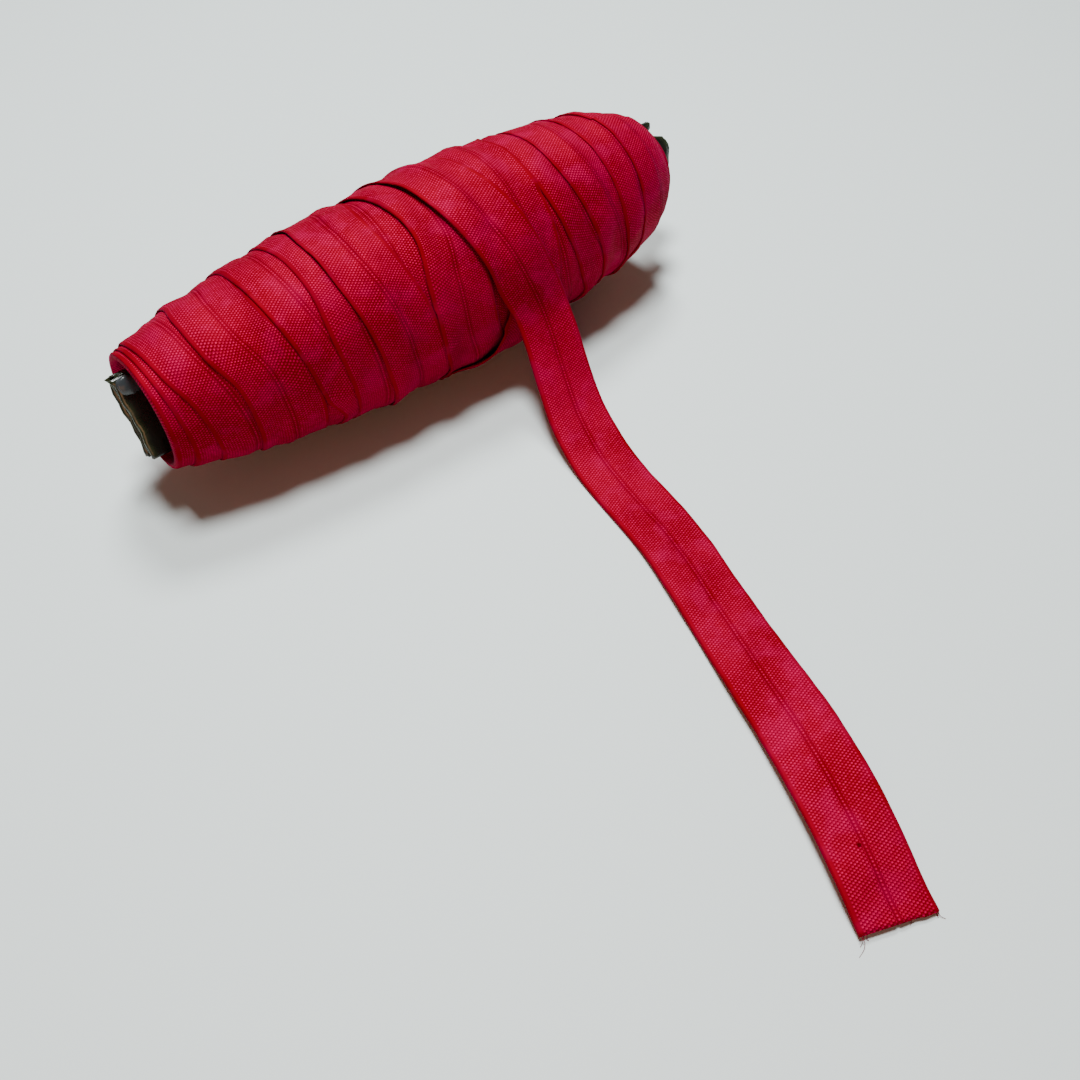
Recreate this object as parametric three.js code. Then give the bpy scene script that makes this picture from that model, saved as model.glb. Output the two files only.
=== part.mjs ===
// Roll of fold-over elastic: a 16 mm ribbon wound into a cigar on a folded strip of dark film, with its
// loose end led over the front of the roll and laid out on the table.
// Millimetres. The origin is on the table under the middle of the roll, +X runs along the roll, +Y goes
// to its back and +Z is up.

import * as THREE from 'three';

// Driving sizes

const RIBBON = {
  width: 16,
  woundThick: 0.6,           // pulled tight on the roll
  looseThick: 1.2,
  flatThick: 1.0,            // at least, where the loose end lies on the table
  grooveDeep: 0.25,
  grooveHalf: 0.8,
};
const GAP = 0.3;             // between pieces that touch
const SPAN_ROOM = 0.5;       // more of it under the loose end, which spans the turns' steps
// The roll's axis: its height at the middle, a little under the largest radius for the flat spot, its rise
// to the right, and how it bows up to both ends
const AXIS = { z: 24.45, rise: 0.01, bow: 0.00012 };
const PRESSED = 0.9;         // turns that would hang no higher than this over the table lie flat on it
const REFERENCE_DEG = 20;    // the line along the roll's front shoulder where turns are counted

// The finished roll's radius at stations along it
const PROFILE = [
  { x: -72.0, radius: 13.8 },
  { x: -69.5, radius: 14.5 },
  { x: -60.4, radius: 17.1 },
  { x: -43.1, radius: 20.7 },
  { x: -25.9, radius: 22.8 },
  { x: -7.2, radius: 24.0 },
  { x: 11.5, radius: 24.9 },
  { x: 28.8, radius: 23.8 },
  { x: 46.0, radius: 22.4 },
  { x: 60.4, radius: 20.0 },
  { x: 68.0, radius: 17.7 },
  { x: 73.0, radius: 15.3 },
  { x: 76.0, radius: 13.0 },
];

// Where the ribbon's middle is after so many turns from the reference line, how far each turn tips along
// the roll, and how loosely it lies. The ribbon runs from the right end to the left one, then back to the
// right end in the turns that show, and last of all steeply back to the middle.
const TURNS = [
  { turn: 0, x: 66, tip: 0, loose: 0 },
  { turn: 1, x: 64, tip: 2, loose: 0 },
  { turn: 6, x: 3, tip: 5, loose: 0 },
  { turn: 10, x: -47, tip: 2, loose: 0 },
  { turn: 11, x: -56, tip: 1, loose: 0 },
  { turn: 12, x: -63.8, tip: 0, loose: 0 },
  { turn: 13, x: -62.1, tip: 1.5, loose: 0 },
  { turn: 14, x: -60.1, tip: 2.5, loose: 0.1 },
  { turn: 15, x: -51.1, tip: 1.3, loose: 0.3 },
  { turn: 16, x: -35.3, tip: 3, loose: 0 },
  { turn: 17, x: -24.6, tip: 0.5, loose: 0 },
  { turn: 18, x: -19.0, tip: 0, loose: 0.8 },
  { turn: 19, x: 2.5, tip: -4, loose: 0.8 },
  { turn: 20, x: 17.7, tip: 1, loose: 0.1 },
  { turn: 21, x: 28.7, tip: 2, loose: 0 },
  { turn: 22, x: 38.1, tip: 4, loose: 0.1 },
  { turn: 23, x: 46.0, tip: 3, loose: 0 },
  { turn: 24, x: 59.3, tip: 0.6, loose: 0 },
  { turn: 25, x: 67.7, tip: 0, loose: 0 },
  { turn: 25.3, x: 67.0, tip: 0, loose: 0 },
  { turn: 25.75, x: 29.0, tip: 0, loose: 0.1 },
  { turn: 26, x: 22.7, tip: 0, loose: 0.1 },
  { turn: 26.2, x: 19.5, tip: 0, loose: 0.1 },
  { turn: 26.3, x: 2.5, tip: 0, loose: 0 },
  { turn: 26.42, x: -5.0, tip: 0, loose: 0 },
  { turn: 26.74, x: 3.6, tip: 0, loose: 0 },
];

// A slack stretch of the last turn that sags off the roll's lower front
const SLACK = [
  { deg: 92, x: 19.5, lift: 0.2 },
  { deg: 100, x: 18.0, lift: 0.7 },
  { deg: 108, x: 14.5, lift: 1.3 },
  { deg: 116, x: 9.5, lift: 1.7 },
  { deg: 124, x: 4.5, lift: 1.8 },
  { deg: 132, x: 0.5, lift: 1.5 },
  { deg: 145, x: -3.0, lift: 0.8 },
  { deg: 158, x: -4.5, lift: 0.3 },
  { deg: 170, x: -5.0, lift: 0.0 },
];
const SLACK_EDGE = 2;        // the slack stretch's edges fade over this much

// The loose end where it lies on the roll, from the end of the last turn at its back: its middle at angles
// from the top towards the front
const TAIL_ON_ROLL = [
  { deg: -75, x: 3.6 },
  { deg: -55, x: 5.6 },
  { deg: -35, x: 7.2 },
  { deg: -15, x: 8.4 },
  { deg: 5, x: 9.6 },
  { deg: 20, x: 10.7 },
  { deg: 35, x: 12.1 },
  { deg: 50, x: 13.8 },
  { deg: 65, x: 15.7 },
  { deg: 80, x: 17.6 },
];

// The loose end from the roll to its cut end: its middle, the heading of the ribbon's width from the roll's
// line, and how much higher its right edge is than its left
const TAIL_FREE = [
  { x: 19.4, y: -27.6, z: 21.6, headingDeg: -2, bank: -1.2 },
  { x: 18.8, y: -31.3, z: 17.6, headingDeg: -6, bank: -2.4 },
  { x: 17.5, y: -35.8, z: 13.4, headingDeg: -8, bank: -3.1 },
  { x: 15.8, y: -41.2, z: 9.0, headingDeg: -9, bank: -2.8 },
  { x: 14.1, y: -46.7, z: 5.5, headingDeg: -10, bank: -1.9 },
  { x: 12.5, y: -53.0, z: 3.0, headingDeg: -11, bank: -1.0 },
  { x: 11.0, y: -60.0, z: 1.3, headingDeg: -11, bank: -0.5 },
  { x: 9.7, y: -67.5, z: 0.6, headingDeg: -10, bank: -0.4 },
  { x: 8.5, y: -75.3, z: 0.5, headingDeg: -10, bank: -0.4 },
  { x: 7.2, y: -83.4, z: 0.6, headingDeg: -12, bank: -0.6 },
  { x: 5.3, y: -91.5, z: 0.8, headingDeg: -15, bank: -1.0 },
  { x: 3.1, y: -98.8, z: 0.9, headingDeg: -16, bank: -1.2 },
  { x: 1.0, y: -105.6, z: 0.9, headingDeg: -17, bank: -1.0 },
  { x: -0.9, y: -111.8, z: 1.0, headingDeg: -17, bank: -0.5 },
  { x: -3.0, y: -118.2, z: 1.4, headingDeg: -18, bank: 0.1 },
  { x: -5.1, y: -124.4, z: 2.0, headingDeg: -18, bank: 0.6 },
  { x: -7.1, y: -130.4, z: 2.5, headingDeg: -18, bank: 1.2 },
  { x: -9.0, y: -136.3, z: 3.0, headingDeg: -19, bank: 1.8 },
  { x: -11.1, y: -142.0, z: 3.4, headingDeg: -20, bank: 2.1 },
  { x: -13.2, y: -147.6, z: 3.6, headingDeg: -21, bank: 1.9 },
  { x: -15.3, y: -152.9, z: 3.6, headingDeg: -22, bank: 1.3 },
  { x: -17.4, y: -158.0, z: 3.4, headingDeg: -23, bank: 0.5 },
  { x: -19.5, y: -162.9, z: 3.0, headingDeg: -24, bank: -0.3 },
  { x: -21.6, y: -167.4, z: 2.5, headingDeg: -24, bank: -1.0 },
  { x: -23.5, y: -171.6, z: 2.0, headingDeg: -23, bank: -1.4 },
  { x: -25.2, y: -175.8, z: 1.5, headingDeg: -23, bank: -1.9 },
];

// The core: a flat bundle of film folded back and forth, standing steeply in the roll
const CORE = {
  halfWidth: 10.2,
  layers: 4,
  layerThick: 0.8,
  layerPitch: 1.4,
  tiltDeg: 60,               // of its width below the horizontal, towards the front
  leftX: -75.6,
  steps: 8,                  // along the bowed axis
  right: { x: 88, across: -4, fall: 0.045 },   // its furthest point and how fast the rest recedes
};
const CORE_HALF_THICK = ((CORE.layers - 1) * CORE.layerPitch + CORE.layerThick) / 2;

// The way through the roll: round mouths that close onto the core
const BORE = [
  { x: -72.0, round: 1.0 },
  { x: -70.0, round: 0.97 },
  { x: -67.5, round: 0.75 },
  { x: -64.5, round: 0.3 },
  { x: -61.5, round: 0.0 },
  { x: -36.0, round: 0.0 },
  { x: -10.5, round: 0.0 },
  { x: 15.0, round: 0.0 },
  { x: 40.5, round: 0.0 },
  { x: 66.0, round: 0.0 },
  { x: 69.0, round: 0.3 },
  { x: 71.5, round: 0.7 },
  { x: 74.0, round: 0.95 },
  { x: 76.0, round: 1.0 },
];
const MOUTH_RADIUS = { left: 12.7, right: 11.6 };
const BORE_ROOM = 0.45;      // between the core and the winding
const SLOT_CORNER = 0.25;    // power of the sine and cosine: 1 is an ellipse, 0 a rectangle

// The grid on which the turns are laid: how many cells a turn looks to each side when it spans the steps
// under it, how far it can drop in one cell, and how many cells and rings to each side a mean takes in
const LAY = { xFrom: -73, xTo: 77, xStep: 1, around: 126, reach: 3, fall: 0.3, meanCells: 9, meanRings: 20 };
const MESH = { around: 60, outerRings: 74, tailStationDeg: 7.75, tailSteps: 2 };   // steps of the meshes
const HEADING_DEG = 2;       // the loose end's heading is taken over this much to each side

// Helpers

const radians = THREE.MathUtils.degToRad;
const clamp = THREE.MathUtils.clamp;
const lerp = THREE.MathUtils.lerp;
const smoothstep = THREE.MathUtils.smoothstep;

// A smooth function through one column of a table
function through(rows, from, to) {
  const slope = (i) => {
    const a = rows[Math.max(i - 1, 0)];
    const b = rows[Math.min(i + 1, rows.length - 1)];
    return (b[to] - a[to]) / (b[from] - a[from]);
  };
  return (value) => {
    let i = 0;
    while (i < rows.length - 2 && value > rows[i + 1][from]) i += 1;
    const span = rows[i + 1][from] - rows[i][from];
    const s = clamp((value - rows[i][from]) / span, 0, 1);
    const start = rows[i][to] * (2 * s ** 3 - 3 * s ** 2 + 1) + slope(i) * span * (s ** 3 - 2 * s ** 2 + s);
    const end = rows[i + 1][to] * (3 * s ** 2 - 2 * s ** 3) + slope(i + 1) * span * (s ** 3 - s ** 2);
    return start + end;
  };
}

const axisHeight = (x) => AXIS.z + AXIS.rise * x + AXIS.bow * x * x;

// A point of the roll from its place along it, its angle from the top to the front and its radius
function rollPoint(x, angle, radius) {
  return new THREE.Vector3(x, -radius * Math.sin(angle), axisHeight(x) + radius * Math.cos(angle));
}

// A point of the core or the bore from its place along the roll, across the core's width and its thickness
function corePoint(x, across, thick) {
  const tilt = radians(CORE.tiltDeg);
  return new THREE.Vector3(
    x,
    -across * Math.cos(tilt) - thick * Math.sin(tilt),
    axisHeight(x) - across * Math.sin(tilt) + thick * Math.cos(tilt),
  );
}

// A closed body from equal loops of points; the last loop joins the first, or the two ends are capped
function bodyFromLoops(loops, joined) {
  const count = loops[0].length;
  const positions = loops.flatMap((loop) => loop.flatMap((point) => point.toArray()));
  const index = [];
  const quad = (a, b, c, d) => index.push(a, b, c, a, c, d);
  const lastLoop = joined ? loops.length : loops.length - 1;
  for (let i = 0; i < lastLoop; i += 1) {
    const here = i * count;
    const next = ((i + 1) % loops.length) * count;
    for (let j = 0; j < count; j += 1) {
      const k = (j + 1) % count;
      quad(here + j, next + j, next + k, here + k);
    }
  }
  if (!joined) {
    const far = (loops.length - 1) * count;
    for (let j = 0; j < count / 2 - 1; j += 1) {
      const opposite = count - 1 - j;
      quad(j, j + 1, opposite - 1, opposite);
      quad(far + j, far + opposite, far + opposite - 1, far + j + 1);
    }
  }
  const geometry = new THREE.BufferGeometry();
  geometry.setAttribute('position', new THREE.Float32BufferAttribute(positions, 3));
  geometry.setIndex(index);
  geometry.computeVertexNormals();
  return geometry;
}

// Winding: turn after turn is laid on a grid of heights, each riding over what is under it

function stackOfTurns() {
  const cells = Math.round((LAY.xTo - LAY.xFrom) / LAY.xStep) + 1;
  const heights = Array.from({ length: LAY.around }, () => new Float64Array(cells));
  const middle = through(TURNS, 'turn', 'x');
  const tip = through(TURNS, 'turn', 'tip');
  const loose = through(TURNS, 'turn', 'loose');
  const referenceStep = Math.round(REFERENCE_DEG / 360 * LAY.around);
  const lastTurn = TURNS[TURNS.length - 1].turn;
  for (let step = 0; step <= lastTurn * LAY.around; step += 1) {
    const turn = step / LAY.around;
    const ring = (step + referenceStep) % LAY.around;
    const centre = middle(turn) + tip(turn) * Math.sin(2 * Math.PI * turn);
    const first = Math.max(Math.ceil((centre - RIBBON.width / 2 - LAY.xFrom) / LAY.xStep), 0);
    const last = Math.min(Math.floor((centre + RIBBON.width / 2 - LAY.xFrom) / LAY.xStep), cells - 1);
    const laid = [];
    for (let cell = first; cell <= last; cell += 1) {
      let under = 0;
      for (let away = -LAY.reach; away <= LAY.reach; away += 1) {
        const near = clamp(cell + away, first, last);
        under = Math.max(under, heights[ring][near] - LAY.fall * Math.abs(away));
      }
      laid.push(under + RIBBON.woundThick + loose(turn));
    }
    laid.forEach((height, i) => { heights[ring][first + i] = height; });
  }
  return heights;
}

// The heights smoothed over the cells and the rings near each place
function meanHeights(heights) {
  const average = (half, valueAt) => {
    let sum = 0;
    for (let away = -half; away <= half; away += 1) sum += valueAt(away);
    return sum / (2 * half + 1);
  };
  const overCells = heights.map((ring) => ring.map((_, cell) => (
    average(LAY.meanCells, (away) => ring[clamp(cell + away, 0, ring.length - 1)])
  )));
  return overCells.map((cells, ring) => cells.map((_, cell) => (
    average(LAY.meanRings, (away) => overCells[(ring + away + LAY.around) % LAY.around][cell])
  )));
}

function windingSurface() {
  const heights = stackOfTurns();
  const profile = through(PROFILE, 'x', 'radius');
  const mean = meanHeights(heights);
  const slackX = through(SLACK, 'deg', 'x');
  const slackLift = through(SLACK, 'deg', 'lift');
  const slackReach = (RIBBON.width + SLACK_EDGE) / 2;
  const read = (x, angle) => {
    const column = (x - LAY.xFrom) / LAY.xStep;
    const cell = clamp(Math.floor(column), 0, heights[0].length - 2);
    const turn = (angle / (2 * Math.PI) + 2) % 1 * LAY.around;
    const ring = Math.floor(turn) % LAY.around;
    const nextRing = (ring + 1) % LAY.around;
    const proud = (atRing, atCell) => heights[atRing][atCell] - mean[atRing][atCell];
    const along = (atRing) => lerp(proud(atRing, cell), proud(atRing, cell + 1), column - cell);
    return lerp(along(ring), along(nextRing), turn - Math.floor(turn));
  };
  return (x, angle) => {
    const deg = THREE.MathUtils.radToDeg(angle);
    const slack = deg > SLACK[0].deg && deg < SLACK[SLACK.length - 1].deg
      ? slackLift(deg) * smoothstep(slackReach - Math.abs(x - slackX(deg)), 0, SLACK_EDGE)
      : 0;
    return profile(x) + read(x, angle) + slack;
  };
}

const surfaceRadius = windingSurface();

// Around the core the bore is a round-cornered slot, and at the mouths it is round
function borePoint(x, round, mouth, angle) {
  const slotWidth = CORE.halfWidth + BORE_ROOM;
  const slotThick = CORE_HALF_THICK + BORE_ROOM;
  const square = (value) => Math.sign(value) * Math.abs(value) ** SLOT_CORNER;
  const across = lerp(slotWidth * square(Math.cos(angle)), mouth * Math.cos(angle), round);
  const thick = lerp(slotThick * square(Math.sin(angle)), mouth * Math.sin(angle), round);
  return corePoint(x, across, thick);
}

function windingGeometry() {
  const tilt = radians(CORE.tiltDeg);
  const angles = Array.from({ length: MESH.around }, (_, j) => (j / MESH.around) * 2 * Math.PI);
  const loops = [];
  const left = PROFILE[0].x;
  const right = PROFILE[PROFILE.length - 1].x;
  for (let i = 0; i < MESH.outerRings; i += 1) {
    const x = lerp(left, right, i / (MESH.outerRings - 1));
    loops.push(angles.map((angle) => {
      // the rings are counted from the core's lower edge, as the bore's are
      const fromTop = Math.PI / 2 + tilt - angle;
      const point = rollPoint(x, fromTop, surfaceRadius(x, (fromTop + 4 * Math.PI) % (2 * Math.PI)));
      if (point.z < PRESSED) point.z = 0;
      return point;
    }));
  }
  for (const ring of [...BORE].reverse()) {
    const mouth = ring.x < 0 ? MOUTH_RADIUS.left : MOUTH_RADIUS.right;
    loops.push(angles.map((angle) => borePoint(ring.x, ring.round, mouth, angle)));
  }
  return bodyFromLoops(loops, true);
}

// Core: the film's folded section drawn along the roll, its right-hand end cut on a slant

function coreOutline() {
  const half = CORE.layerThick / 2;
  const bend = CORE.layerPitch / 2;
  const inset = CORE.halfWidth - bend - half;
  const middle = [];
  for (let layer = 0; layer < CORE.layers; layer += 1) {
    const y = (layer - (CORE.layers - 1) / 2) * CORE.layerPitch;
    const out = layer % 2 === 0 ? 1 : -1;
    for (const part of [-1, -0.6, -0.2, 0.2, 0.6, 1]) middle.push(new THREE.Vector2(part * out * inset, y));
    if (layer === CORE.layers - 1) break;
    for (const turn of [-45, 0, 45].map(radians)) {
      middle.push(new THREE.Vector2(out * (inset + bend * Math.cos(turn)), y + bend + bend * Math.sin(turn)));
    }
  }
  const side = (offset) => middle.map((point, i) => {
    const before = middle[Math.max(i - 1, 0)];
    const after = middle[Math.min(i + 1, middle.length - 1)];
    const along = after.clone().sub(before).normalize();
    return new THREE.Vector2(point.x - along.y * offset, point.y + along.x * offset);
  });
  return [...side(half), ...side(-half).reverse()];
}

function coreGeometry() {
  const section = new THREE.Shape(coreOutline());
  const geometry = new THREE.ExtrudeGeometry(section, { depth: 1, steps: CORE.steps, bevelEnabled: false });
  const position = geometry.attributes.position;
  for (let i = 0; i < position.count; i += 1) {
    const across = position.getX(i);
    const rightX = CORE.right.x - CORE.right.fall * (across - CORE.right.across) ** 2;
    const point = corePoint(lerp(rightX, CORE.leftX, position.getZ(i)), across, position.getY(i));
    position.setXYZ(i, point.x, point.y, point.z);
  }
  geometry.computeVertexNormals();
  return geometry;
}

// Loose end: a sheet whose middle surface follows both tables, with the fold line sunk along its middle

// The radius at which the sheet spans the winding's steps around a place
function spanRadius(x, angle) {
  let radius = 0;
  for (let dx = -LAY.reach; dx <= LAY.reach; dx += 1) {
    for (let turn = -LAY.reach; turn <= LAY.reach; turn += 1) {
      const near = (angle + turn * 2 * Math.PI / LAY.around + 2 * Math.PI) % (2 * Math.PI);
      radius = Math.max(radius, surfaceRadius(x + dx, near) - LAY.fall * Math.hypot(dx, turn));
    }
  }
  return radius;
}

function stationOnRoll(deg, middleX, across) {
  const angle = radians(deg);
  const radius = spanRadius(middleX(deg), angle);
  const drift = middleX(deg + HEADING_DEG) - middleX(deg - HEADING_DEG);
  const heading = Math.atan2(drift, radius * radians(2 * HEADING_DEG));
  return across.map((v) => {
    const x = middleX(deg) + v * Math.cos(heading);
    const there = angle - v * Math.sin(heading) / radius;
    return rollPoint(x, there, spanRadius(x, there) + GAP + SPAN_ROOM + RIBBON.looseThick / 2);
  });
}

function stationFree(row, across) {
  const heading = radians(row.headingDeg);
  const rise = row.bank / RIBBON.width;
  const flat = Math.sqrt(1 - rise * rise);
  return across.map((v) => new THREE.Vector3(
    row.x + v * flat * Math.cos(heading),
    row.y + v * flat * Math.sin(heading),
    row.z + v * rise,
  ));
}

function looseEndGeometry() {
  const half = RIBBON.width / 2;
  const across = [-half, -half / 2, -RIBBON.grooveHalf, 0, RIBBON.grooveHalf, half / 2, half];
  const middleX = through(TAIL_ON_ROLL, 'deg', 'x');
  const first = TAIL_ON_ROLL[0].deg;
  const last = TAIL_ON_ROLL[TAIL_ON_ROLL.length - 1].deg;
  const stations = [];
  for (let deg = first; deg <= last; deg += MESH.tailStationDeg) {
    stations.push(stationOnRoll(deg, middleX, across));
  }
  for (const row of TAIL_FREE) stations.push(stationFree(row, across));

  const lines = across.map((_, v) => {
    const points = stations.map((station) => station[v]);
    return new THREE.CatmullRomCurve3(points, false, 'centripetal');
  });
  const steps = (stations.length - 1) * MESH.tailSteps;
  const grid = Array.from({ length: steps + 1 }, (_, i) => lines.map((line) => line.getPoint(i / steps)));
  const loops = grid.map((row, i) => {
    const before = grid[Math.max(i - 1, 0)];
    const after = grid[Math.min(i + 1, steps)];
    const offset = (v, distance, lowest) => {
      const along = after[v].clone().sub(before[v]);
      const over = row[Math.min(v + 1, across.length - 1)].clone().sub(row[Math.max(v - 1, 0)]);
      const point = row[v].clone().addScaledVector(along.cross(over).normalize(), distance);
      point.z = Math.max(point.z, lowest);
      return point;
    };
    const groove = (v) => (v === 0 ? RIBBON.grooveDeep : 0);
    const top = across.map((v, k) => offset(k, RIBBON.looseThick / 2 - groove(v), RIBBON.flatThick));
    const bottom = across.map((_, k) => offset(k, -RIBBON.looseThick / 2, 0));
    return [...top, ...bottom.reverse()];
  });
  return bodyFromLoops(loops, false);
}

// The group

const ribbonMaterial = new THREE.MeshStandardMaterial({ color: 0xc4103a, roughness: 0.6, metalness: 0 });
const filmMaterial = new THREE.MeshStandardMaterial({ color: 0x1c2016, roughness: 0.3, metalness: 0 });

function piece(name, geometry, material) {
  const mesh = new THREE.Mesh(geometry, material);
  mesh.name = name;
  return mesh;
}

const roll = new THREE.Group();
roll.add(piece('winding', windingGeometry(), ribbonMaterial));
roll.add(piece('core', coreGeometry(), filmMaterial));
roll.add(piece('loose_end', looseEndGeometry(), ribbonMaterial));

export default roll;
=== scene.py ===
import math

import bpy
import numpy as np
from mathutils import Matrix, Vector


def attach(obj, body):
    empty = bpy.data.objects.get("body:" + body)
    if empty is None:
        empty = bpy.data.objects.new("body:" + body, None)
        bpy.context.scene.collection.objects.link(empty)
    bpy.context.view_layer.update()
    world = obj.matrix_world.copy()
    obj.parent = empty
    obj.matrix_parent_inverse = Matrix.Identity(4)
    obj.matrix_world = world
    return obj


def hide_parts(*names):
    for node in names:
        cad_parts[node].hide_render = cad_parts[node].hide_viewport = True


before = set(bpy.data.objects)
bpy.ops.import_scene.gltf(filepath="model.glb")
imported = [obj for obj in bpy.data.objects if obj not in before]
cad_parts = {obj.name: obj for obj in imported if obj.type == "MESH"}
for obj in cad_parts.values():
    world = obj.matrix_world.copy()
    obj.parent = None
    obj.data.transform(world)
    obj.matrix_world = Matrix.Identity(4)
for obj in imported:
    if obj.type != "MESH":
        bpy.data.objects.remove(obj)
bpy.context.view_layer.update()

# Sizes in millimetres. +X runs along the roll, +Y to its back and +Z up, and angles round the roll are
# degrees from its top towards its front.

MM = 0.001
WIDTH = 16.0                 # of the ribbon
THICK = 0.5                  # of the ribbon as wound
LOOSE_THICK = 1.0            # of the loose end
AXIS = {"z": 24.45, "rise": 0.01, "bow": 0.00012}

# The finished roll's radius at stations along it
PROFILE = (
    {"x": -72.0, "radius": 13.8},
    {"x": -69.5, "radius": 14.5},
    {"x": -60.4, "radius": 17.1},
    {"x": -43.1, "radius": 20.7},
    {"x": -25.9, "radius": 22.8},
    {"x": -7.2, "radius": 24.0},
    {"x": 11.5, "radius": 24.9},
    {"x": 28.8, "radius": 23.8},
    {"x": 46.0, "radius": 22.4},
    {"x": 60.4, "radius": 20.0},
    {"x": 68.0, "radius": 17.7},
    {"x": 73.0, "radius": 15.3},
    {"x": 76.0, "radius": 13.0},
)

# Under-turns run from the right end to the left one, where their edge stays inside the mouth
UNDER_TURNS = (
    {"turn": -12, "x": 66.0},
    {"turn": -11, "x": 64.0},
    {"turn": -6, "x": 3.0},
    {"turn": -2, "x": -47.0},
    {"turn": -1, "x": -56.0},
)

# Outer turns in the order they were wound: how loosely each lies, how much it is crumpled, and where its
# left edge runs at these angles. They run from the mouth to the right end, and the last one comes back.
EDGE_DEG = (-30, 0, 30, 60, 90, 120)
OUTER_TURNS = (
    {"loose": 0.0, "crumple": 0.5, "edge": (-72.0, -71.9, -71.8, -71.7, -71.7, -71.8)},
    {"loose": 0.0, "crumple": 0.6, "edge": (-70.6, -70.4, -70.0, -69.2, -68.4, -68.0)},
    {"loose": 0.1, "crumple": 0.7, "edge": (-69.2, -68.8, -67.8, -65.3, -63.6, -62.4)},
    {"loose": 0.15, "crumple": 0.8, "edge": (-58.2, -59.4, -58.9, -55.9, -54.6, -53.5)},
    {"loose": 0.0, "crumple": 0.8, "edge": (-44.2, -44.0, -43.0, -40.9, -38.4, -33.8)},
    {"loose": 0.0, "crumple": 1.0, "edge": (-33.4, -32.6, -32.6, -33.3, -32.0, -30.2)},
    {"loose": 0.4, "crumple": 1.6, "edge": (-26.0, -27.4, -26.8, -24.9, -23.1, -20.6)},
    {"loose": 0.4, "crumple": 0.9, "edge": (-7.6, -6.0, -5.3, -8.0, -8.0, -4.5)},
    {"loose": 0.1, "crumple": 0.8, "edge": (8.0, 9.0, 10.0, 11.0, 12.0, 14.0)},
    {"loose": 0.0, "crumple": 0.8, "edge": (19.0, 20.0, 21.0, 22.0, 23.0, 26.0)},
    {"loose": 0.1, "crumple": 0.8, "edge": (28.5, 29.5, 30.4, 32.0, 35.6, 39.5)},
    {"loose": 0.0, "crumple": 0.8, "edge": (38.2, 37.4, 38.3, 40.6, 43.2, 45.0)},
    {"loose": 0.0, "crumple": 0.8, "edge": (50.0, 50.8, 51.5, 52.0, 53.0, 54.5)},
    {"loose": 0.0, "crumple": 0.8, "edge": (58.0, 59.0, 60.0, 60.5, 60.0, 59.0)},
    {"loose": 0.1, "crumple": 0.8, "edge": (15.5, 15.0, 14.6, 14.0)},
)
SEAM_DEG = -75               # back of the roll, where the last turn goes over into the loose end

# The last turn sags off the roll's lower front
SLACK = (
    {"deg": 92, "x": 20.0, "lift": 0.2},
    {"deg": 100, "x": 19.0, "lift": 0.7},
    {"deg": 108, "x": 17.5, "lift": 1.2},
    {"deg": 116, "x": 15.5, "lift": 1.3},
    {"deg": 124, "x": 13.0, "lift": 0.8},
    {"deg": 132, "x": 10.0, "lift": 0.3},
    {"deg": 145, "x": 6.0, "lift": 0.0},
    {"deg": 158, "x": 2.0, "lift": 0.0},
    {"deg": 170, "x": -2.0, "lift": 0.0},
)

# The loose end where it lies on the roll: its middle, and how loosely it lies at the back and the front
TAIL_ON_ROLL = (
    {"deg": -75, "x": 3.6},
    {"deg": -55, "x": 5.6},
    {"deg": -35, "x": 7.4},
    {"deg": -15, "x": 8.6},
    {"deg": 5, "x": 10.0},
    {"deg": 20, "x": 11.3},
    {"deg": 35, "x": 12.8},
    {"deg": 50, "x": 14.3},
    {"deg": 65, "x": 16.0},
    {"deg": 80, "x": 17.7},
)
TAIL_LOOSE = {"back": 0.15, "front": 0.9}

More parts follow.
